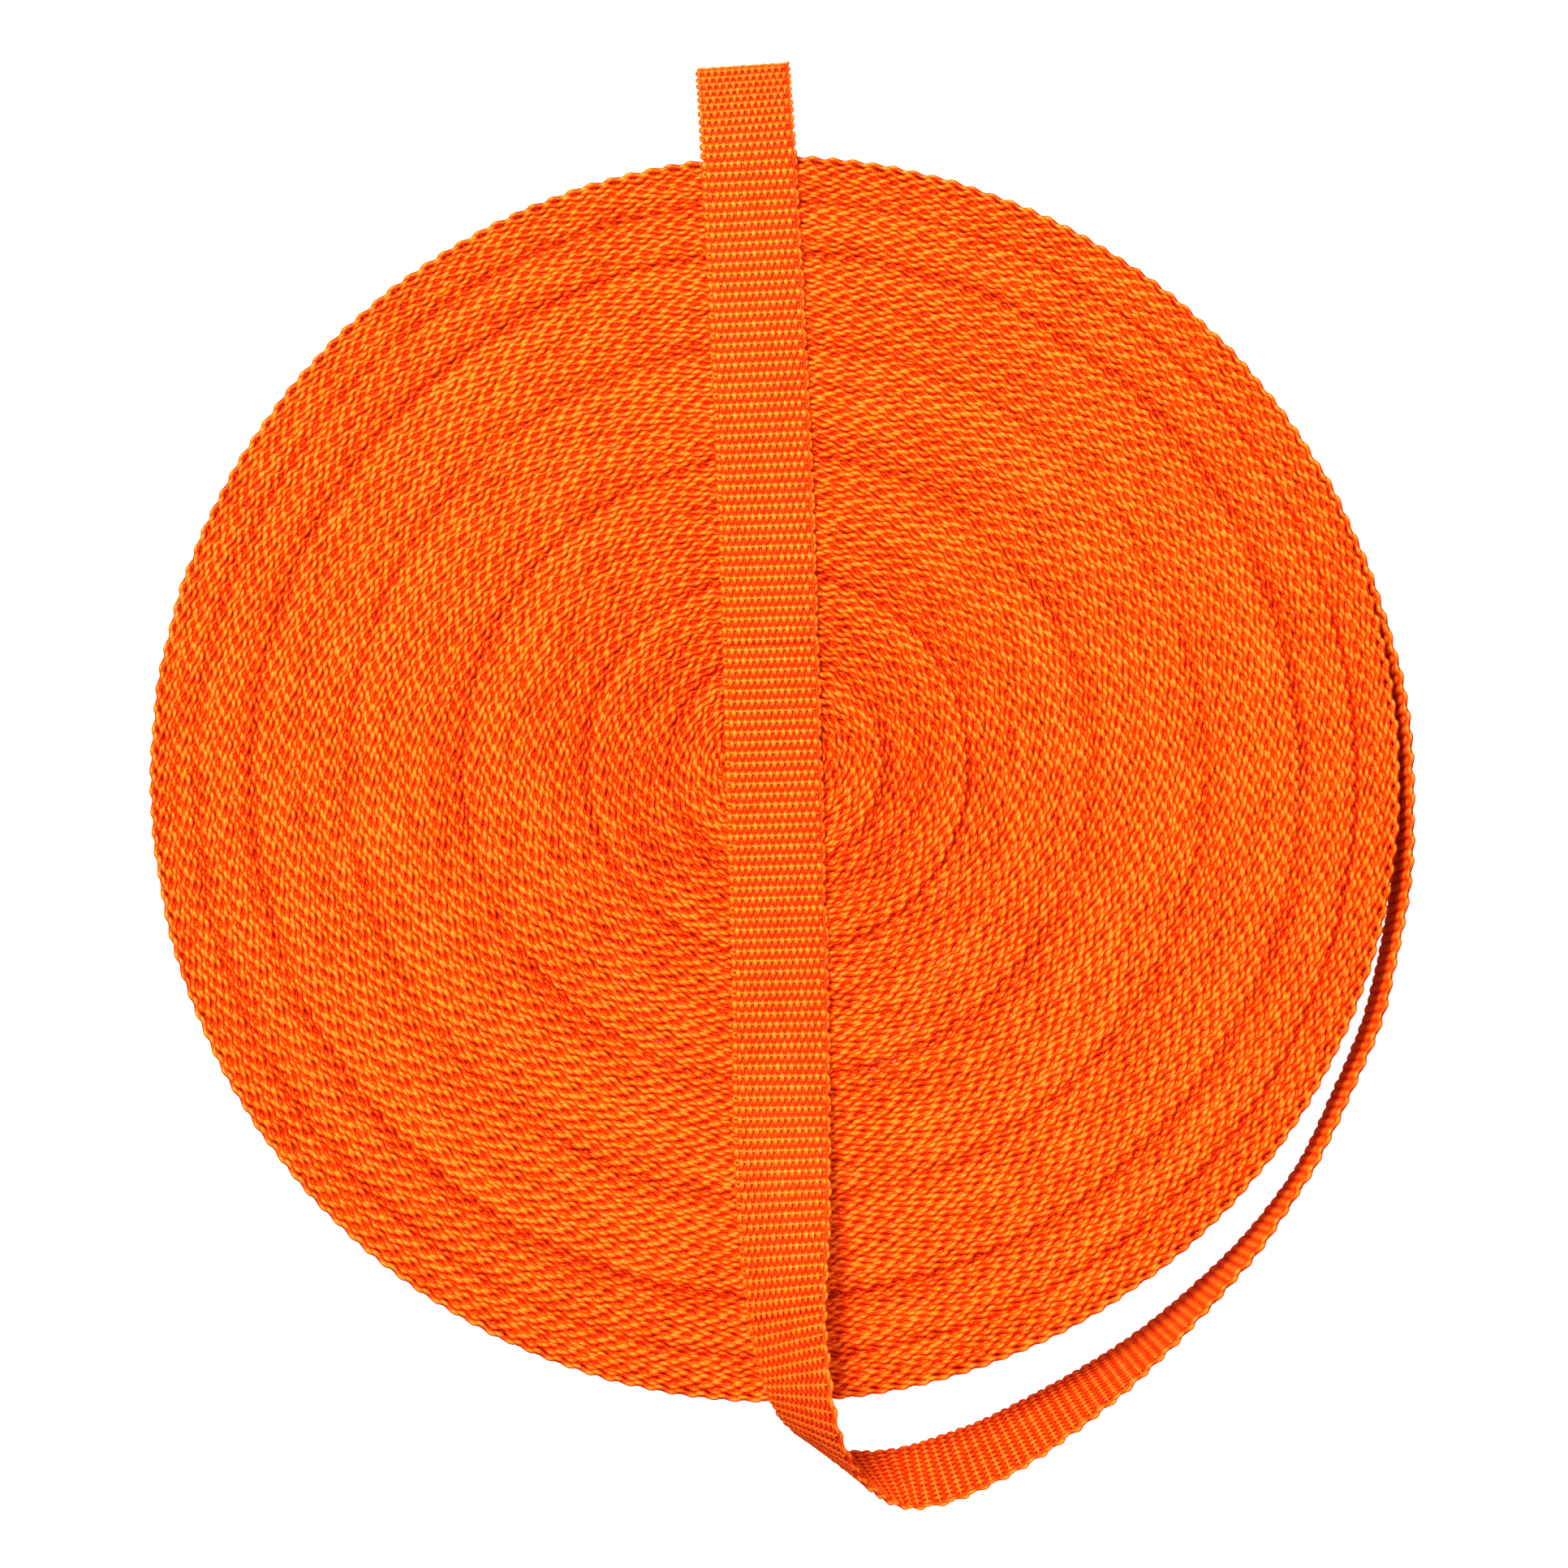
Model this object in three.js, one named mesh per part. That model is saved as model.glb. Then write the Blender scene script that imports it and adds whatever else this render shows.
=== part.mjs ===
// A long line of flat woven webbing, wound into a flat spiral roll that lies on its side.
// The webbing stands on edge in the roll, so its width is the height of the roll. The free tail leaves
// the outermost turn, bows round one side of the roll on its edge, leans outwards, folds over the rim
// and lies across the top face, where its cut end overhangs the far rim.
//
// Units are millimetres. +Z is up, the origin is the centre of the roll on the surface it rests on,
// and the lying tail runs towards +Y.

import * as THREE from 'three';

// Webbing
const WEB_WIDTH = 20;
const WEB_THICK = 1.2;

// Roll
const GAP = 0.3;             // clearance between neighbouring solids
const EDGE_BEVEL = 0.4;      // rounded selvedge of a band of turns
const ROLL_STEPS = 72;       // facets round the roll

// Bands of turns from the middle outwards: outer radius and height of each band's top.
// The first band is solid, because the turns are wound tight on the folded inner end.
const BANDS = [
  { name: 'core_turns', outer: 12.0, top: 19.5 },
  { name: 'inner_turns', outer: 22.0, top: 20.0 },
  { name: 'low_turns', outer: 39.0, top: 19.7 },
  { name: 'middle_turns', outer: 75.0, top: 20.0 },
  { name: 'wide_turns', outer: 109.7, top: 20.0 },
  { name: 'groove_turns', outer: 120.5, top: 19.8 },
  { name: 'rim_turns', outer: 128.3, top: 20.0 },
  { name: 'outer_turn', outer: 129.8, top: 20.0 },
];

// Route of the tail's middle line: x, y, z, and lean in degrees. At lean 0 the webbing stands on edge,
// at +90 it lies flat with its upper selvedge away from the roll, and at -90 it lies flat the other way.
const TAIL_ROUTE = [
  [127.7, 29.5, 10, 0],
  [130.3, 19.5, 10, 0],
  [131.7, 9.5, 10, 0],
  [132.2, 0, 10, 0],
  [132.2, -10, 10, 0],
  [131.6, -20.5, 10, 0],
  [130, -31, 10, 0],
  [127.6, -42, 10, 0],
  [124.4, -53, 10, 0],
  [118.7, -66, 10, 0],
  [110.1, -83, 10, 0],
  [97.4, -99.8, 10.1, 4],
  [80.2, -116.7, 10, 12],
  [65.7, -127.9, 9.6, 21],
  [47.3, -139.2, 8.95, 31],
  [34, -144.8, 8.7, 35],
  [25.2, -146.5, 9.1, 30],
  [17.5, -145.2, 12.5, 13],
  [11.4, -141.3, 18.8, -9],
  [6.8, -134.8, 25.6, -30],
  [4, -125.5, 28.7, -43],
  [1.9, -111, 26.8, -54],
  [1.2, -93, 24.4, -69],
  [0.9, -76, 22.5, -82],
  [0.7, -57, 21.4, -89],
  [0.2, -34, 21.2, -90],
  [-0.7, -3, 21.2, -90],
  [-1.8, 34, 21.2, -90],
  [-3, 68, 21.2, -90],
  [-4.7, 103, 21.2, -90],
  [-5.7, 121, 21.2, -90],
  [-6.2, 130.5, 21.2, -90],
  [-6.9, 141, 17.6, -90],
  [-7.7, 153, 10.3, -90],
];

// Stretches of the tail, by the first and last route point of each
const STRETCHES = [
  { name: 'standing_tail', from: 0, to: 11 },
  { name: 'leaning_tail', from: 11, to: 16 },
  { name: 'fold_over', from: 16, to: 21 },
  { name: 'raised_tail', from: 21, to: 24 },
  { name: 'lying_tail', from: 24, to: 31 },
  { name: 'free_end', from: 31, to: 33 },
];
const STEPS_PER_POINT = 3;   // facets between two route points

const webbing = new THREE.MeshStandardMaterial({ color: 0xff6a00, roughness: 0.55, metalness: 0 });

// A band of turns: a ring with rounded selvedges, or a solid disc if it has no inner radius
function bandGeometry(inner, outer, top) {
  const bevel = EDGE_BEVEL;
  const rim = [
    [outer - bevel, 0],
    [outer, bevel],
    [outer, top - bevel],
    [outer - bevel, top],
  ];
  const middle = inner > 0
    ? [[inner + bevel, top], [inner, top - bevel], [inner, bevel], [inner + bevel, 0], rim[0]]
    : [[0, top]];
  const start = inner > 0 ? [] : [[0, 0]];
  const profile = [...start, ...rim, ...middle].map(([r, z]) => new THREE.Vector2(r, z));
  return new THREE.LatheGeometry(profile, ROLL_STEPS).rotateX(Math.PI / 2);
}

const routeLine = new THREE.CatmullRomCurve3(
  TAIL_ROUTE.map(([x, y, z]) => new THREE.Vector3(x, y, z)), false, 'catmullrom', 0.5);
const leanLine = new THREE.CatmullRomCurve3(
  TAIL_ROUTE.map(([, , , lean]) => new THREE.Vector3(lean, 0, 0)), false, 'catmullrom', 0.5);

// The webbing's place and directions at a share of the route: along, across the width, inner face
function frameAt(share) {
  const along = routeLine.getTangent(share);
  const outwards = new THREE.Vector3(0, 0, 1).cross(along).normalize();
  const upwards = along.clone().cross(outwards);
  const lean = THREE.MathUtils.degToRad(leanLine.getPoint(share).x);
  const across = upwards.multiplyScalar(Math.cos(lean)).addScaledVector(outwards, Math.sin(lean));
  return { centre: routeLine.getPoint(share), across, inner: along.cross(across) };
}

// A stretch of the tail: a long box whose cross-sections are carried along the route
function stretchGeometry(from, to) {
  const last = TAIL_ROUTE.length - 1;
  const step = (index) => routeLine.getPoint(index / last).distanceTo(routeLine.getPoint((index + 0.5) / last));
  const trimStart = from > 0 ? (GAP / 2) * 0.5 / step(from) : 0;
  const trimEnd = to < last ? (GAP / 2) * 0.5 / step(to - 0.5) : 0;
  const first = (from + trimStart) / last;
  const length = (to - trimEnd) / last - first;
  const steps = (to - from) * STEPS_PER_POINT;
  const box = new THREE.BoxGeometry(1, WEB_WIDTH, WEB_THICK, steps, 1, 1);
  const place = box.attributes.position;
  for (let i = 0; i < place.count; i += 1) {
    const { centre, across, inner } = frameAt(first + (place.getX(i) + 0.5) * length);
    const point = centre.addScaledVector(across, place.getY(i)).addScaledVector(inner, place.getZ(i));
    place.setXYZ(i, point.x, point.y, point.z);
  }
  box.computeVertexNormals();
  return box;
}

function namedMesh(name, geometry) {
  const mesh = new THREE.Mesh(geometry, webbing.clone());
  mesh.name = name;
  return mesh;
}

const roll = new THREE.Group();
let inner = 0;
for (const { name, outer, top } of BANDS) {
  roll.add(namedMesh(name, bandGeometry(inner, outer, top)));
  inner = outer + GAP;
}

const tail = new THREE.Group();
for (const { name, from, to } of STRETCHES) {
  tail.add(namedMesh(name, stretchGeometry(from, to)));
}

const leash = new THREE.Group();
leash.add(roll, tail);

export default leash;
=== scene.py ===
"""A long line of orange webbing, wound into a flat spiral roll, with its tail folded over the top.

The webbing is built as it is woven. Flat warp yarns run along it and cross from face to face
between the weft picks. The weft turns back in small loops at one edge, and at the other edge a
knitted chain holds it. In the roll the chain is the upper edge of every turn and the loops are
the lower one. Lengths are in millimetres until a mesh is made, and lengths along the tail count
from the point where it leaves the roll.
"""

import bpy
import numpy as np
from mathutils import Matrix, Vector


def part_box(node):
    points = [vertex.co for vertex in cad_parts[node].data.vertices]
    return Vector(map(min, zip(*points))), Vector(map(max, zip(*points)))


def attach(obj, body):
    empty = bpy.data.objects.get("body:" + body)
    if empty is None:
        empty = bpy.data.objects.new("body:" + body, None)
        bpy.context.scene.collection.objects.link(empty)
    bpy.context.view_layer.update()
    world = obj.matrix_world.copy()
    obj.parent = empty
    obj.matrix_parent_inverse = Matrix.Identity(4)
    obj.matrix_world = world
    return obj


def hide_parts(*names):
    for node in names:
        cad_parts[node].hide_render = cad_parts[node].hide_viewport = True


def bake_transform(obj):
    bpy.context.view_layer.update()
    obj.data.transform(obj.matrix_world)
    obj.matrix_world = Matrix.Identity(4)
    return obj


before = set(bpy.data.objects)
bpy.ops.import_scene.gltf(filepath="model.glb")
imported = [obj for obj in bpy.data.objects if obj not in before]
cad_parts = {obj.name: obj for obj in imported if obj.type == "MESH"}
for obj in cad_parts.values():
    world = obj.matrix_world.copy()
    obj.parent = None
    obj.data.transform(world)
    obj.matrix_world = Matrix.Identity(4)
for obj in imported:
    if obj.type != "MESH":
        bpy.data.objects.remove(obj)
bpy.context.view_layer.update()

MM = 0.001
TAU = 2 * np.pi
rng = np.random.default_rng(11)

# The roll, from the CAD's bands of turns
ROLL_LOW, ROLL_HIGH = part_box("outer_turn")
ROLL_CENTRE = (ROLL_LOW + ROLL_HIGH) / 2

# ---------------------------------------------------------------- camera

CAMERA_TILT = np.radians(5.5)
CAMERA_DISTANCE = 0.68
CAMERA_LENS = 75.06             # on a sensor 36 wide, both in millimetres
CAMERA_AIM = (0.0016, -0.0032, 0.0005)      # from the middle of the roll's top


def make_camera():
    """Looks down on the roll, a little from the side where the tail folds over."""
    x, y, z = CAMERA_AIM
    target = Vector((ROLL_CENTRE.x + x, ROLL_CENTRE.y + y, ROLL_HIGH.z + z))
    to_camera = Vector((0, -np.sin(CAMERA_TILT), np.cos(CAMERA_TILT)))
    data = bpy.data.cameras.new("camera")
    data.lens = CAMERA_LENS
    data.sensor_width = 36
    camera = bpy.data.objects.new("camera", data)
    camera.location = target + CAMERA_DISTANCE * to_camera
    camera.rotation_euler = (CAMERA_TILT, 0, 0)
    bpy.context.scene.collection.objects.link(camera)
    bpy.context.scene.camera = camera


make_camera()

# ---------------------------------------------------------------- the webbing's course

# The tail's middle line, in metres, and its lean in degrees. At lean 0 the webbing stands on its
# looped edge, and at -90 it lies flat with its knitted edge towards +X.
TAIL_ROUTE = [
    (0.1277, 0.0295, 0.0100, 0),
    (0.1303, 0.0195, 0.0100, 0),
    (0.1317, 0.0095, 0.0100, 0),
    (0.1322, 0.0000, 0.0100, 0),
    (0.1322, -0.0100, 0.0100, 0),
    (0.1316, -0.0205, 0.0100, 0),
    (0.1300, -0.0310, 0.0100, 0),
    (0.1276, -0.0420, 0.0100, 0),
    (0.1244, -0.0530, 0.0100, 0),
    (0.1187, -0.0660, 0.0100, 0),
    (0.1101, -0.0830, 0.0100, 0),
    (0.0974, -0.0998, 0.0101, 4),
    (0.0802, -0.1167, 0.0100, 12),
    (0.0657, -0.1279, 0.0096, 21),
    (0.0473, -0.1392, 0.00895, 31),
    (0.0340, -0.1448, 0.0087, 35),
    (0.0252, -0.1465, 0.0091, 30),
    (0.0175, -0.1452, 0.0125, 13),
    (0.0114, -0.1413, 0.0188, -9),
    (0.0068, -0.1348, 0.0256, -30),
    (0.0040, -0.1255, 0.0287, -43),
    (0.0019, -0.1110, 0.0268, -54),
    (0.0012, -0.0930, 0.0244, -69),
    (0.0009, -0.0760, 0.0225, -82),
    (0.0007, -0.0570, 0.0214, -89),
    (0.0002, -0.0340, 0.0212, -90),
    (-0.0007, -0.0030, 0.0212, -90),
    (-0.0018, 0.0340, 0.0212, -90),
    (-0.0030, 0.0680, 0.0212, -90),
    (-0.0047, 0.1030, 0.0212, -90),
    (-0.0057, 0.1210, 0.0212, -90),
    (-0.0062, 0.1305, 0.0212, -90),
    (-0.0069, 0.1410, 0.0176, -90),
    (-0.0077, 0.1530, 0.0103, -90),
]

# The spiral that the rest of the webbing follows, clockwise as it goes outwards
TURN = 1.19                     # from one turn to the next
RISE = TURN / TAU               # radius gained for each radian
INNER_RADIUS = 2.4
OUTER_RADIUS = 130.4            # middle of the webbing where the tail leaves
EXIT_ANGLE = np.arctan2(TAIL_ROUTE[0][1], TAIL_ROUTE[0][0])
LAST_TURN = TAU * (OUTER_RADIUS - TURN / 2)
EASE_OUT = 60.0                 # the last stretch of the spiral moves out to meet the tail
MIDDLE_Z = 9.95                 # middle of the webbing's width in the roll
OFF_CENTRE = np.array([0.6, 2.5])   # the innermost turns lie a little off the roll's centre


def wound_length(radius):
    """Length of the webbing from its inner end to a radius of the spiral."""
    return (radius**2 - INNER_RADIUS**2) / (2 * RISE)


WOUND = wound_length(OUTER_RADIUS)


def unit(vectors):
    return vectors / np.linalg.norm(vectors, axis=-1, keepdims=True)


def spiral(along):
    """Radius, angle and centre of the spiral at lengths from its inner end."""
    radius = np.sqrt(INNER_RADIUS**2 + 2 * RISE * along)
    angle = EXIT_ANGLE + (OUTER_RADIUS - radius) / RISE
    centre = OFF_CENTRE * (1 - (radius[..., None] / OUTER_RADIUS) ** 0.5)
    return radius, angle, centre


def catmull_rom(points, steps):
    """The smooth line through the points, with that many steps between two of them."""
    first = 2 * points[0] - points[1]
    last = 2 * points[-1] - points[-2]
    padded = np.vstack([first, points, last])
    a, b, c, d = padded[:-3, None], padded[1:-2, None], padded[2:-1, None], padded[3:, None]
    t = np.linspace(0, 1, steps, endpoint=False)[None, :, None]
    line = 0.5 * (2 * b + (c - a) * t + (2 * a - 5 * b + 4 * c - d) * t**2
                  + (3 * b - a - 3 * c + d) * t**3)
    return np.vstack([line.reshape(-1, points.shape[1]), points[-1:]])


def webbing_course():
    """Lengths along the last turn and the tail, and the webbing's middle, width and outer face
    at each."""
    route = np.array(TAIL_ROUTE, float)
    route[:, :3] /= MM
    fine = catmull_rom(route, 40)
    past_end = 2 * fine[-1] - fine[-21]     # for the bead along the cut end
    fine = np.vstack([fine, past_end])
    tail, lean = fine[:, :3], np.radians(fine[:, 3:])
    tail_length = np.concatenate([[0], np.cumsum(np.linalg.norm(np.diff(tail, axis=0), axis=1))])

    last_turn = np.arange(-LAST_TURN - 4, 0, 0.5)
    radius, angle, centre = spiral(WOUND + last_turn)
    out_to_tail = np.linalg.norm(route[0, :2]) - OUTER_RADIUS
    radius = radius + out_to_tail * np.clip(1 + last_turn / EASE_OUT, 0, 1) ** 2
    turn = np.stack([centre[:, 0] + radius * np.cos(angle), centre[:, 1] + radius * np.sin(angle),
                     np.full_like(radius, MIDDLE_Z)], axis=1)

    length = np.concatenate([last_turn, tail_length])
    middle = np.vstack([turn, tail])
    lean = np.vstack([np.zeros((len(turn), 1)), lean])
    forward = unit(np.gradient(middle, length, axis=0))
    outwards = unit(np.cross([0.0, 0.0, 1.0], forward))
    upwards = np.cross(forward, outwards)
    across = np.cos(lean) * upwards + np.sin(lean) * outwards
    face = -np.cross(forward, across)
    return length, middle, across, face


COURSE = webbing_course()
TAIL_LENGTH = COURSE[0][-2]


def on_webbing(along, across, out):
    """Points of the webbing: along it, across it from its middle, and out of its outer face."""
    length, *table = COURSE
    middle, width, face = (
        np.stack([np.interp(along, length, column[:, k]) for k in range(3)], axis=-1)
        for column in table)
    width, face = unit(width), unit(face)
    return middle + across[..., None] * width + out[..., None] * face, width, face


# ---------------------------------------------------------------- yarns

# Sections of the tubes, from -1 to 1 across and through
ROUND = np.array([(np.cos(a), np.sin(a)) for a in np.arange(6) * TAU / 6])
SMALL_ROUND = np.array([(np.cos(a), np.sin(a)) for a in np.arange(5) * TAU / 5])
FOUR_SIDED = np.array([(1.1, 0), (0, 1.1), (-1.1, 0), (0, -1.1)])
SLAB = np.array([(1, 0), (0.97, 1), (0.9, 1), (-0.9, 1), (-0.97, 1),
                 (-1, 0), (-0.97, -1), (-0.9, -1), (0.9, -1), (0.97, -1)])
FLAT = np.array([(1, 0), (0.62, 0.88), (-0.62, 0.88), (-1, 0), (-0.62, -0.88), (0.62, -0.88)])


class Yarns:
    """Collects tubes and slabs, and makes one mesh of them."""

    def __init__(self):
        self.points, self.quads, self.caps, self.light, self.fibre = [], [], [], [], []
        self.count = 0

    def sweep(self, path, facing, half_width, half_thick, section, light, crown=0.0):
        """Closed tubes. path and facing are tubes x steps x 3. light is the colour of each step,
        from 0 in the hollows to 1 on the crowns, painted shade and painted highlight, and crown is
        the painted highlight that the section's top adds (its underside loses as much)."""
        tubes, steps, sides = path.shape[0], path.shape[1], len(section)

        def each_step(value):
            return (value * np.ones((tubes, steps)))[..., None]

        forward = np.gradient(path, axis=1)
        side = unit(np.cross(forward, facing))
        up = unit(np.cross(side, forward))
        wide = each_step(half_width) * section[:, 0]
        thick = each_step(half_thick) * section[:, 1]
        points = (path[:, :, None] + wide[..., None] * side[:, :, None]
                  + thick[..., None] * up[:, :, None])
        run = np.linalg.norm(np.diff(path, axis=1), axis=2)
        run = np.concatenate([np.zeros((tubes, 1)), np.cumsum(run, axis=1)], axis=1)
        own = rng.random((tubes, 1)) * 50       # so that no two yarns have the same fibres
        run = np.broadcast_to((run + own)[..., None], wide.shape)
        fibre = np.stack([wide, thick, run], axis=-1)
        light = each_step(light) + each_step(crown) * section[:, 1]

        index = self.count + np.arange(tubes * steps * sides).reshape(tubes, steps, sides)
        a, b = index[:, :-1], index[:, 1:]
        quads = np.stack([a, b, np.roll(b, -1, axis=2), np.roll(a, -1, axis=2)], axis=-1)
        self.points.append(points.reshape(-1, 3))
        self.fibre.append(fibre.reshape(-1, 3))
        self.light.append(light.ravel())
        self.quads.append(quads.reshape(-1, 4))
        self.caps += [*index[:, 0], *index[:, -1, ::-1]]
        self.count += index.size

    def make(self, name, material):
        points = (np.concatenate(self.points) * MM).astype(np.float32)
        quads = np.concatenate(self.quads)
        corners = np.concatenate([quads.ravel(), *self.caps]).astype(np.int32)
        sizes = np.array([4] * len(quads) + [len(c) for c in self.caps])
        mesh = bpy.data.meshes.new(name)
        mesh.vertices.add(len(points))
        mesh.vertices.foreach_set("co", points.ravel())
        mesh.loops.add(len(corners))
        mesh.loops.foreach_set("vertex_index", corners)
        mesh.polygons.add(len(sizes))
        mesh.polygons.foreach_set("loop_start", (np.cumsum(sizes) - sizes).astype(np.int32))
        mesh.update(calc_edges=True)
        mesh.shade_smooth()
        ends = mesh.attributes.new("sharp_face", "BOOLEAN", "FACE")
        ends.data.foreach_set("value", np.arange(len(sizes)) >= len(quads))
        light = mesh.attributes.new("light", "FLOAT", "POINT")
        light.data.foreach_set("value", np.concatenate(self.light).astype(np.float32))
        fibre = mesh.attributes.new("fibre", "FLOAT_VECTOR", "POINT")
        fibre.data.foreach_set("vector", np.concatenate(self.fibre).astype(np.float32).ravel())
        mesh.materials.append(material)
        piece = bpy.data.objects.new(name, mesh)
        bpy.context.scene.collection.objects.link(piece)
        return piece


# ---------------------------------------------------------------- materials


def yarn_material(name):
    """Shiny yarn with fine fibres along it: painted shade makes it red in the hollows, where it
    is dull, and a painted highlight makes it light orange on the crowns, where it is smoother."""
    material = bpy.data.materials.new(name)
    material.use_nodes = True
    nodes, links = material.node_tree.nodes, material.node_tree.links
    shader = nodes["Principled BSDF"]
    light = nodes.new("ShaderNodeAttribute")
    light.attribute_name = "light"
    fibre = nodes.new("ShaderNodeAttribute")
    fibre.attribute_name = "fibre"

    stretch = nodes.new("ShaderNodeVectorMath")
    stretch.operation = "MULTIPLY"
    stretch.inputs[1].default_value = (6.0, 6.0, 0.5)
    links.new(fibre.outputs["Vector"], stretch.inputs[0])
    strands = nodes.new("ShaderNodeTexNoise")
    strands.inputs["Scale"].default_value = 1.0
    strands.inputs["Detail"].default_value = 2.0
    links.new(stretch.outputs[0], strands.inputs["Vector"])

    lift = nodes.new("ShaderNodeMath")
    lift.operation = "MULTIPLY_ADD"
    lift.inputs[1].default_value = 0.5
    links.new(strands.outputs["Fac"], lift.inputs[0])
    links.new(light.outputs["Fac"], lift.inputs[2])
    # From painted shade in the hollows, dark red, to painted highlight on the crowns, light orange
    ramp = nodes.new("ShaderNodeValToRGB")
    ramp.color_ramp.elements[0].position = 0.18
    ramp.color_ramp.elements[0].color = (0.42, 0.003, 0.0, 1)
    ramp.color_ramp.elements[1].position = 1.0
    ramp.color_ramp.elements[1].color = (1.0, 0.165, 0.012, 1)
    for position, color in ((0.42, (0.86, 0.030, 0.001, 1)), (0.70, (0.98, 0.075, 0.001, 1))):
        ramp.color_ramp.elements.new(position).color = color
    links.new(lift.outputs[0], ramp.inputs["Fac"])
    links.new(ramp.outputs["Color"], shader.inputs["Base Color"])

    polish = nodes.new("ShaderNodeMath")
    polish.operation = "MULTIPLY_ADD"
    polish.inputs[1].default_value = -0.30
    polish.inputs[2].default_value = 0.60
    links.new(lift.outputs[0], polish.inputs[0])
    links.new(polish.outputs[0], shader.inputs["Roughness"])
    bump = nodes.new("ShaderNodeBump")
    bump.inputs["Strength"].default_value = 0.3
    bump.inputs["Distance"].default_value = 0.00005
    links.new(strands.outputs["Fac"], bump.inputs["Height"])
    links.new(bump.outputs["Normal"], shader.inputs["Normal"])
    shader.inputs["IOR"].default_value = 1.36
    shader.inputs["Specular IOR Level"].default_value = 0.9
    shader.inputs["Specular Tint"].default_value = (1.0, 0.62, 0.10, 1)
    return material


ROLL_YARN = yarn_material("roll_yarn")
TAIL_YARN = yarn_material("tail_yarn")

# ---------------------------------------------------------------- the weave and its edges

PICKS = 252.5                   # weft picks in the tail, which is cut off between two of them
PICK = TAIL_LENGTH / PICKS      # from one weft pick to the next
STITCH = 2 * PICK               # length of one stitch of the knitted edge
COLUMNS = 26                    # warp yarns, and where they lie across the webbing
COLUMN_STEP = 0.724
FIRST_COLUMN = -9.034
CROWN = 0.40                    # how far a warp yarn's middle stands out over a pick
NEEDLE_EDGE = -9.62             # where the weft turns back, across the webbing
CHAIN_LINE = 9.80               # where the knitted chain runs

# The two yarns of one stitch of the knitted edge: share of the stitch, towards the outer face,
# out of the edge, half width and half thickness. The first bulges on the inner side and the
# second a little later on the outer side, and the first crosses over between them.
FIRST_YARN = np.array([
    (0.00, -0.38, 0.36, 0.45, 0.36),
    (0.10, -0.36, 0.30, 0.42, 0.34),
    (0.19, -0.26, 0.06, 0.36, 0.28),
    (0.29, 0.02, -0.20, 0.38, 0.26),
    (0.38, 0.30, -0.16, 0.34, 0.24),
    (0.47, 0.26, 0.00, 0.32, 0.26),
    (0.56, 0.08, 0.02, 0.34, 0.26),
    (0.66, -0.12, -0.10, 0.38, 0.26),
    (0.77, -0.29, 0.04, 0.37, 0.28),
    (0.88, -0.38, 0.29, 0.42, 0.34),
])
SECOND_YARN = np.array([
    (0.05, 0.02, -0.16, 0.38, 0.26),
    (0.14, 0.20, 0.04, 0.37, 0.28),
    (0.23, 0.33, 0.29, 0.42, 0.34),
    (0.34, 0.39, 0.37, 0.45, 0.36),
    (0.45, 0.41, 0.29, 0.42, 0.34),
    (0.54, 0.39, 0.02, 0.37, 0.28),
    (0.63, 0.33, -0.20, 0.36, 0.26),
    (0.76, 0.12, -0.22, 0.38, 0.24),
    (0.90, -0.06, -0.22, 0.38, 0.24),
])
STITCH_LIGHT = 0.26             # colour of the chain at its line, and the painted highlight that each mm above it adds (painted shade below it)
STITCH_RISE = 1.00
PAINTED_RIDGE_HIGHLIGHT = 0.16              # painted highlight that the ridge of a chain yarn adds, and painted shade its underside takes
EDGE_SPREAD = 0.75              # the chain is this much narrower where no turn lies beside it

# Small differences between stitches, warp floats and picks. There is a row for each stitch in the
# roll, and the warp yarns and the weft each start at a row of their own.
UNEVEN = np.random.default_rng(3).normal(size=(12000, 4))
WARP_ROWS = 700
WEFT_ROW = 5000


def stitches(yarn, start, end):
    """A yarn of the knitted chain between two lengths: along, sideways, out, half width, half
    thickness and light."""
    size = len(yarn)
    step = np.arange(int(np.ceil(start / STITCH * size)), int(np.ceil(end / STITCH * size)) + 1)
    shape = yarn[step % size]
    along = (step // size + shape[:, 0]) * STITCH
    uneven = UNEVEN[(step // size) % len(UNEVEN)]
    after = UNEVEN[(step // size + 1) % len(UNEVEN)]
    uneven = uneven + (after - uneven) * shape[:, :1]
    side = shape[:, 1] + 0.10 * uneven[:, 0]
    out = shape[:, 2] + 0.10 * uneven[:, 1]
    wide = shape[:, 3] * (1 + 0.08 * uneven[:, 2])
    # Painted highlight above the chain's line and painted shade below it, and a random tone
    light = STITCH_LIGHT + STITCH_RISE * shape[:, 2] + 0.09 * uneven[:, 3]
    return along, side, out, wide, shape[:, 4], light


def add_chain(yarns, start, end):
    """The knitted edge."""
    for yarn in (FIRST_YARN, SECOND_YARN):
        along, side, out, wide, thick, light = stitches(yarn, start, end)
        path, across, _ = on_webbing(along, CHAIN_LINE + out, EDGE_SPREAD * side)
        yarns.sweep(path[None], across[None], wide, thick, FOUR_SIDED, light[None], PAINTED_RIDGE_HIGHLIGHT)


WARP_FALL = 0.3                 # how much sooner a warp yarn falls than it rises
WARP_LIGHT = 0.08               # its colour where it crosses, a painted shade, and the painted highlight its crown adds
PAINTED_CROWN_HIGHLIGHT = 0.72


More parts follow.
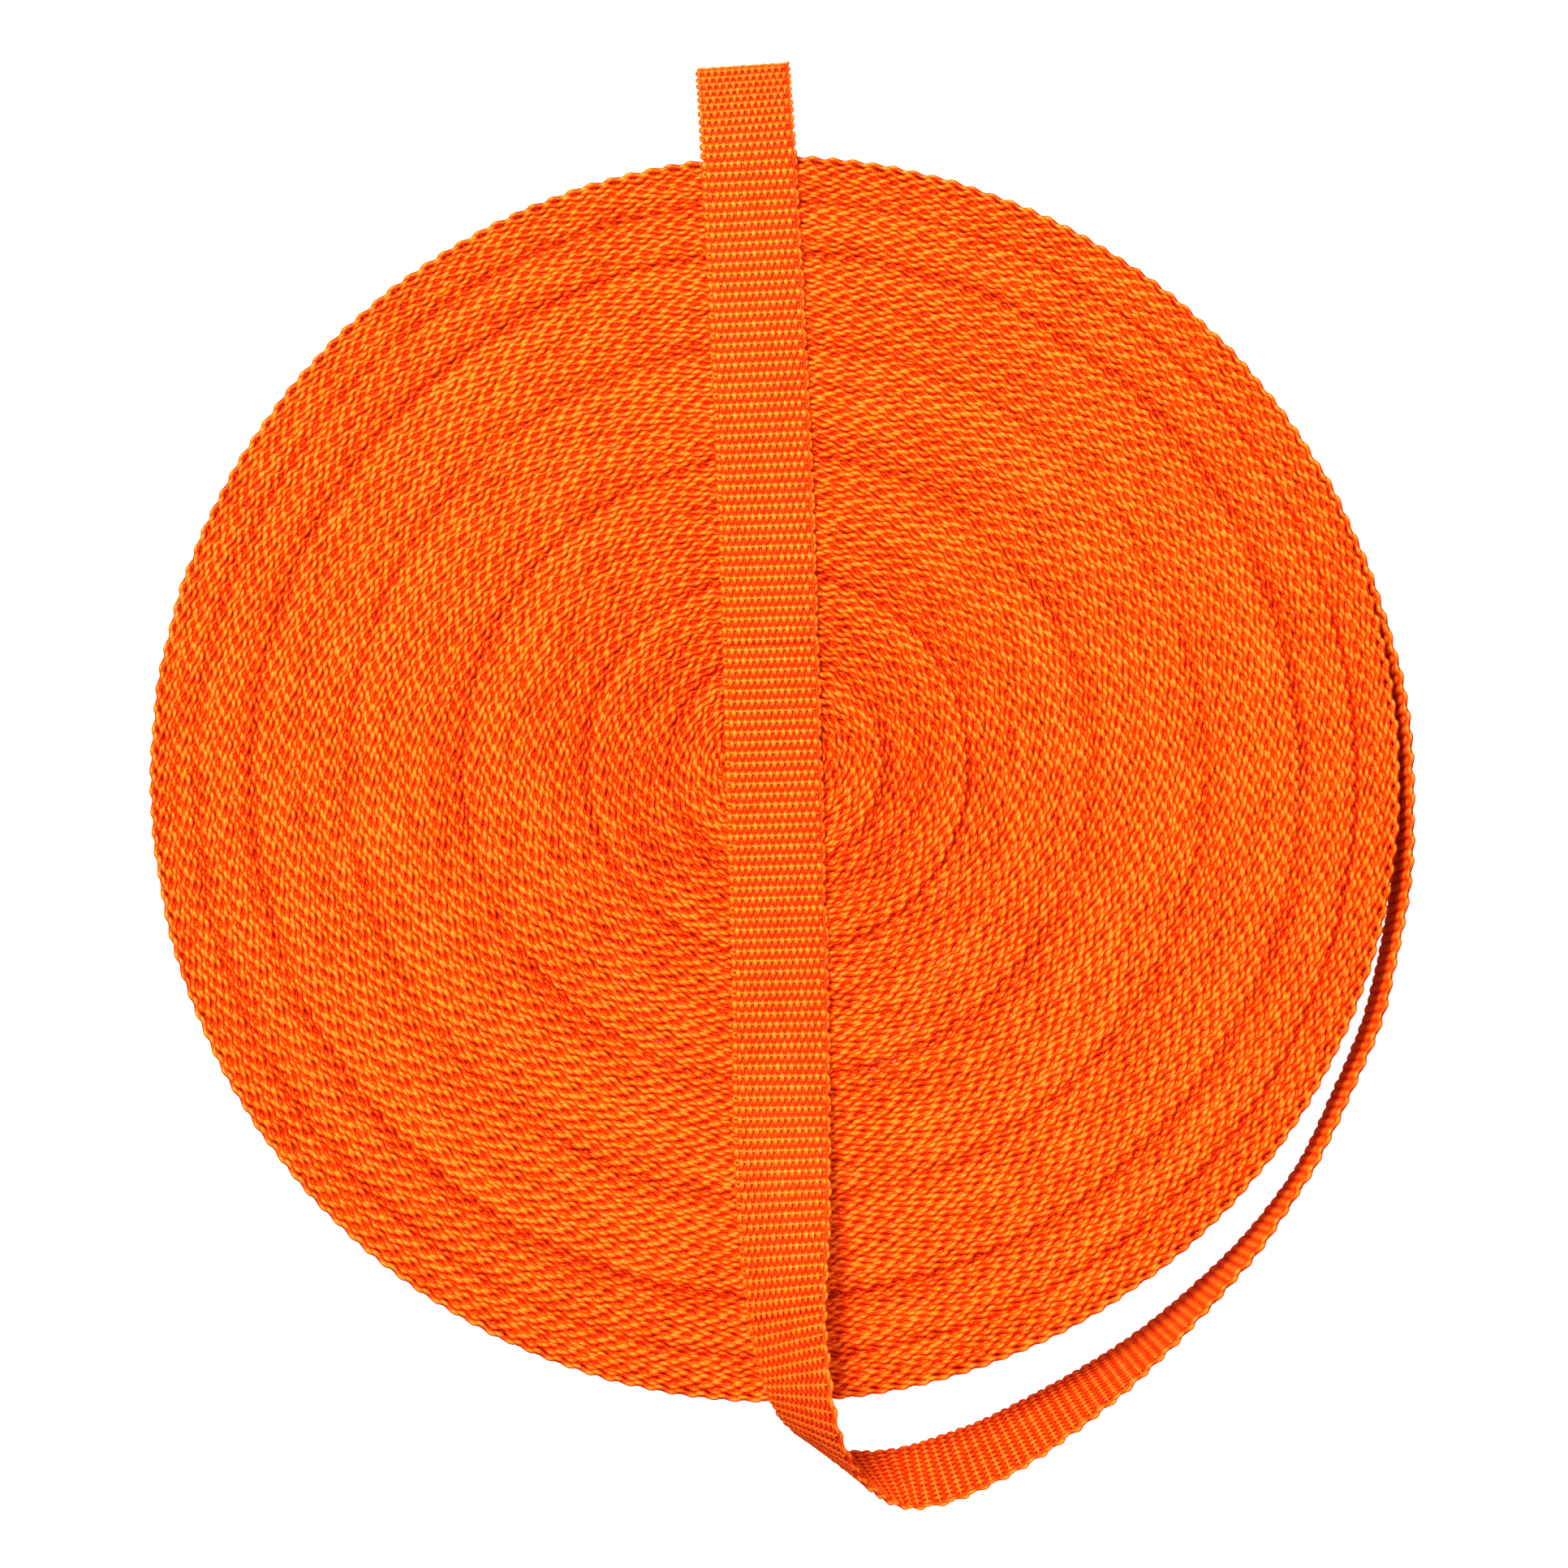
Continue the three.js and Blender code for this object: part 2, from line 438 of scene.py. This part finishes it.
def add_warp(yarns, start, end, steps_per_pick=6, section=FLAT):
    """The yarns along the webbing. Each is widest where it stands out over a pick, and falls
    sooner after a pick than it rises before it."""
    step = PICK / steps_per_pick
    along = np.arange(round(start / step), round(end / step) + 1) * step
    column = np.arange(COLUMNS)[:, None]
    sign = np.where(column % 2, -1.0, 1.0)
    turn = TAU * along[None] / (2 * PICK)
    wave = sign * np.cos(turn + WARP_FALL * np.sin(turn) ** 2)
    crown = np.abs(wave)
    float_number = np.floor(along / PICK + 0.5).astype(int)
    uneven = UNEVEN[(float_number + WARP_ROWS * column) % len(UNEVEN)]
    across = FIRST_COLUMN + COLUMN_STEP * column
    across = across - 0.09 * sign * wave + 0.03 * uneven[..., 0] * crown
    out = (CROWN + 0.025 * uneven[..., 1]) * wave
    path, _, face = on_webbing(np.broadcast_to(along, wave.shape), across, out)
    half_width, half_thick = 0.34 + 0.26 * crown**2, 0.25 - 0.05 * crown
    # Painted shade where the yarn crosses, and painted highlight on the outer side of its crown
    light = WARP_LIGHT + 0.05 * uneven[..., 2]
    yarns.sweep(path, face, half_width, half_thick, section, light,
                PAINTED_CROWN_HIGHLIGHT * wave * crown)


def add_coarse_warp(yarns, start, end):
    """The same with fewer faces, for the long outermost turn."""
    add_warp(yarns, start, end, 4, FOUR_SIDED)


# A weft pick: across the webbing, half the space between its legs, how far the legs lie towards
# either face, half width and half thickness. It swells where it turns back.
PICK_SHAPE = np.array([
    (9.4, 0.10, 0.24, 0.20, 0.20),
    (0.0, 0.10, 0.25, 0.20, 0.20),
    (-7.9, 0.10, 0.22, 0.20, 0.20),
    (-8.7, 0.34, 0.08, 0.36, 0.28),
    (-9.05, 0.50, 0.03, 0.50, 0.36),
    (-9.35, 0.46, 0.0, 0.48, 0.36),
    (-9.56, 0.25, 0.0, 0.42, 0.34),
])
PICK_TURN = (NEEDLE_EDGE, 0.0, 0.0, 0.33, 0.31)
PICK_LOOP = np.vstack([PICK_SHAPE, PICK_TURN, PICK_SHAPE[::-1] * (1, -1, -1, 1, 1)])
LEG_END = -8.5                  # the pick's legs carry a painted highlight, and its loop beyond here is darker
PAINTED_LEG_HIGHLIGHT = 1.0
LOOP_LIGHT = 0.45


def add_weft(yarns, start, end):
    """The yarn across the webbing, one loop for each pick."""
    pick = np.arange(np.ceil(start / PICK), np.ceil(end / PICK))[:, None] * PICK
    place, leg_space, out, half_width, half_thick = PICK_LOOP.T
    uneven = UNEVEN[(np.round(pick[:, 0] / PICK).astype(int) + WEFT_ROW) % len(UNEVEN)]
    along = pick + leg_space + 0.04 * uneven[:, :1]
    across = place + 0.05 * uneven[:, 1:2] * (place < -7)
    out = np.broadcast_to(out, along.shape)
    path, _, face = on_webbing(along, across, out)
    light = np.where(place > LEG_END, PAINTED_LEG_HIGHLIGHT, LOOP_LIGHT)
    yarns.sweep(path, face, half_width, half_thick, SMALL_ROUND, light)


def add_cut_end(yarns, start, end):
    """The heat that cut the webbing has run its yarn ends together in a thin wavy bead."""
    across = np.linspace(-9.5, 10.1, 60)[None]
    along = end + 0.22 + 0.10 * np.sin(across * 2.9) + 0.06 * np.sin(across * 7.3)
    path, _, face = on_webbing(along, across, 0 * along)
    yarns.sweep(path, face, 0.34, 0.42 + 0.05 * np.sin(across * 4.1), ROUND, 0.62)


# The parts of the core: across the webbing, half width, half thickness, section and colour, which
# is painted shade for the pits between the yarns
CORE = ((0.3, 9.2, 0.03, SLAB, 0.0),
        (CHAIN_LINE - 0.18, 0.18, 0.36, ROUND, 0.22))


def add_core(yarns, start, end):
    """The yarns in the middle of the thickness and under the chain, which close it to light.
    Their dark colour is painted shade where they show in the pits.
    """
    along = np.append(np.arange(start, end, 2.0), end)[None]
    for across, half_width, half_thick, section, light in CORE:
        path, _, face = on_webbing(along, 0 * along + across, 0 * along)
        yarns.sweep(path, face, half_width, half_thick, section, light)


def woven(name, adders, start, end, material):
    """One mesh of the given yarns between two lengths."""
    yarns = Yarns()
    for add in adders:
        add(yarns, start, end)
    return yarns.make(name, material)


# ---------------------------------------------------------------- the tail


def tail_piece(name, adders, start, end):
    """A piece of the tail between two lengths."""
    piece = woven(name, adders, start, end, TAIL_YARN)
    return piece


def tail_cord(start, end):
    """The tail's middle line from one length to another, in metres; nothing is done with it."""
    line = np.linspace(start, end, 160)
    path, _, _ = on_webbing(line, 0 * line, 0 * line)
    path *= MM


# The tail's pieces end halfway between two picks, where the warp yarns cross. Its second half
# is cut into two pieces, and each of those has its own weft.
TAIL_CUTS = (np.array([-1, 65, 128, 192, 252]) + 0.5) * PICK
bow = tail_piece("tail_warp_bow", (add_warp, add_chain), TAIL_CUTS[0], TAIL_CUTS[1])
fold = tail_piece("tail_warp_fold", (add_warp, add_chain), TAIL_CUTS[1], TAIL_CUTS[2])
lying = tail_piece("tail_warp_lying", (add_warp, add_chain), TAIL_CUTS[2], TAIL_CUTS[3])
bow_weft = tail_piece("tail_weft_bow", (add_core, add_weft), TAIL_CUTS[0], TAIL_CUTS[2])
lying_weft = tail_piece("tail_weft_lying", (add_core, add_weft), TAIL_CUTS[2], TAIL_CUTS[3])
for piece in (bow, fold, bow_weft):
    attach(piece, "roll")
for piece in (lying, lying_weft):
    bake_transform(piece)
tail_cord(TAIL_CUTS[0], TAIL_CUTS[2])
tail_cord(TAIL_CUTS[2], TAIL_CUTS[3])
tip = tail_piece("tail_end", (add_core, add_weft, add_warp, add_chain, add_cut_end),
                 TAIL_CUTS[3], TAIL_CUTS[4])
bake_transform(tip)
tail_cord(TAIL_CUTS[3], TAIL_CUTS[4])
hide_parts("standing_tail", "leaning_tail", "fold_over", "raised_tail")
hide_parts("raised_tail", "lying_tail")
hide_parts("free_end")

# ---------------------------------------------------------------- the roll

CHAIN_Z = 19.85                 # the chain's line in the roll
RINGS = np.array([              # radius, and how far the turns there lie below the roll's top
    (0, -0.6), (11, -0.6), (13, -0.25), (17, -0.1), (21, 0.0), (22.5, -0.9), (24.0, -0.35),
    (30, -0.35), (36, -0.15), (38.8, 0.0), (40.0, -0.95), (41.3, -0.2), (52, -0.1), (64, 0.0),
    (65.5, -0.6), (67.5, -0.1), (88, 0.0), (89.5, -0.45), (91, -0.05), (108, 0.0), (109.5, -0.8),
    (111, -0.1), (119.7, 0.0), (120.9, -0.9), (122.1, -0.1), (131, -0.05),
])
TURN_UNEVEN = 0.12              # how far a single turn lies below its neighbours
PAINTED_LOW_TURN_SHADE = 0.45           # painted shade: what each mm below the roll's top takes from the chain's colour
LOOP_Z = 0.46                   # the looped edge's line in the roll
BODY_Z = 10.08                  # the turns between their two edges
BODY_HALF_HEIGHT = 9.60
BODY_HALF_THICK = 0.57
# painted shade: the colour of the turns where they show between the chain's yarns
PAINTED_BODY_SHADE = 0.26
UP = np.array([0.0, 0.0, 1.0])
TURN_SECTION = np.array([(1, -0.97), (1, 0.97), (0.6, 1), (-0.6, 1),
                         (-1, 0.97), (-1, -0.97), (-0.6, -1), (0.6, -1)])


def relief(radius, angle):
    """How far the turns at a place stand below the roll's top."""
    turns = np.arange(140)
    knots = -np.abs(np.random.default_rng(5).normal(size=len(turns))) * TURN_UNEVEN
    lump = 0.04 * np.sin(3 * angle + radius / 5) + 0.03 * np.sin(7 * angle - radius / 2.3)
    rings = np.interp(radius, RINGS[:, 0], RINGS[:, 1])
    return np.minimum(rings + np.interp(radius / TURN, turns, knots) + lump, 0.0)


def on_roll(along, side, z, sinks=1.0):
    """Points of the wound webbing. sinks is their share of the turns' lowering."""
    radius, angle, centre = spiral(along)
    reach = radius + side
    return np.stack([centre[..., 0] + reach * np.cos(angle),
                     centre[..., 1] + reach * np.sin(angle),
                     z + sinks * relief(radius, angle)], axis=-1)


def roll_piece(yarns, name):
    """A piece of the roll, made of the given yarns."""
    piece = yarns.make(name, ROLL_YARN)
    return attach(piece, "roll")


def roll_chain(name, start, end):
    """The knitted edge of the turns, which is the roll's face."""
    yarns = Yarns()
    for yarn in (FIRST_YARN, SECOND_YARN):
        along, side, out, wide, thick, light = stitches(yarn, start, end)
        path = on_roll(along, side, CHAIN_Z + out)
        radius, angle, _ = spiral(along)
        # Painted shade on turns that lie low
        light = light + PAINTED_LOW_TURN_SHADE * relief(radius, angle)
        up = np.broadcast_to(UP, path.shape)
        yarns.sweep(path[None], up[None], wide, thick, FOUR_SIDED, light[None], PAINTED_RIDGE_HIGHLIGHT)
    roll_piece(yarns, name)


def roll_loops(name, start, end):
    """The looped edge of the turns, which is the roll's underside: it swells at each pick."""
    row = np.arange(round(3 * start / PICK), round(3 * end / PICK) + 1)
    swell = np.where(row % 3 == 1, 1.0, 0.0)
    uneven = UNEVEN[(row // 3) % len(UNEVEN)]
    path = on_roll(row * PICK / 3, 0.06 * uneven[:, 0], LOOP_Z - 0.08 * swell, 0.0)
    down = np.broadcast_to(-UP, path.shape)
    half_width, half_thick = 0.40 + 0.16 * swell, 0.30 + 0.06 * swell
    # Painted highlight where the loop swells
    light = 0.20 + 0.35 * swell + 0.08 * uneven[:, 1]
    yarns = Yarns()
    yarns.sweep(path[None], down[None], half_width, half_thick, FOUR_SIDED, light[None],
                PAINTED_RIDGE_HIGHLIGHT)
    roll_piece(yarns, name)


def roll_body(name):
    """The woven part of the turns, between their two edges, in a dark colour that is painted
    shade where it shows between the chain's yarns.
    """
    turns = (OUTER_RADIUS - TURN - INNER_RADIUS) / TURN
    radius = np.linspace(INNER_RADIUS, OUTER_RADIUS - TURN, int(turns * 90))
    path = on_roll(wound_length(radius), 0, BODY_Z, 0.5)
    half_height = BODY_HALF_HEIGHT + path[:, 2] - BODY_Z
    up = np.broadcast_to(UP, path.shape)
    yarns = Yarns()
    yarns.sweep(path[None], up[None], BODY_HALF_THICK, half_height[None], TURN_SECTION,
                PAINTED_BODY_SHADE)
    return roll_piece(yarns, name)


body = roll_body("roll_turns")
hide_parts(*[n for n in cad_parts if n.endswith("turns")])
for add_edge, name, parts in ((roll_chain, "knitted_edge", 10), (roll_loops, "looped_edge", 3)):
    cuts = np.linspace(0, WOUND - LAST_TURN, parts + 1)
    for number, (start, end) in enumerate(zip(cuts[:-1], cuts[1:])):
        add_edge(f"{name}_{number + 1}", start, end)
turn_cuts = (np.round(np.linspace(-LAST_TURN / PICK, -1, 4)) + 0.5) * PICK
for number, (start, end) in enumerate(zip(turn_cuts[:-1], turn_cuts[1:])):
    outer = woven(f"outer_turn_{number + 1}",
                  (add_core, add_weft, add_coarse_warp, add_chain), start, end, ROLL_YARN)
    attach(outer, "roll")
    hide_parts("outer_turn")

# ---------------------------------------------------------------- floor and light


def make_floor():
    bpy.ops.mesh.primitive_plane_add(size=6, location=(0, 0, -0.0002))
    floor = bpy.context.object
    floor.name = "floor"
    material = bpy.data.materials.new("pale_floor")
    material.use_nodes = True
    shader = material.node_tree.nodes["Principled BSDF"]
    shader.inputs["Base Color"].default_value = (0.85, 0.85, 0.85, 1)
    shader.inputs["Roughness"].default_value = 0.9
    shader.inputs["Specular IOR Level"].default_value = 0.1
    shader.inputs["Emission Color"].default_value = (1, 1, 1, 1)
    shader.inputs["Emission Strength"].default_value = 0.9
    floor.data.materials.append(material)
    floor.visible_diffuse = False       # the floor throws no pale light on the yarn
    floor.visible_glossy = False


def area_light(name, place, size, power):
    """A round light turned towards the middle of the roll."""
    data = bpy.data.lights.new(name, "AREA")
    data.shape = "DISK"
    data.size = size
    data.energy = power
    light = bpy.data.objects.new(name, data)
    light.location = place
    light.rotation_euler = (-Vector(place)).to_track_quat("-Z", "Y").to_euler()
    bpy.context.scene.collection.objects.link(light)


def make_light():
    area_light("key", (-0.40, 0.60, 1.00), size=0.42, power=28)
    area_light("overhead", (0.10, -0.15, 1.30), size=1.2, power=8)
    world = bpy.data.worlds.new("studio")
    world.use_nodes = True
    world.node_tree.nodes["Background"].inputs["Color"].default_value = (1, 1, 1, 1)
    world.node_tree.nodes["Background"].inputs["Strength"].default_value = 0.52
    bpy.context.scene.world = world
    world.cycles_visibility.glossy = False
    bpy.context.scene.view_settings.view_transform = "Standard"


make_floor()
make_light()
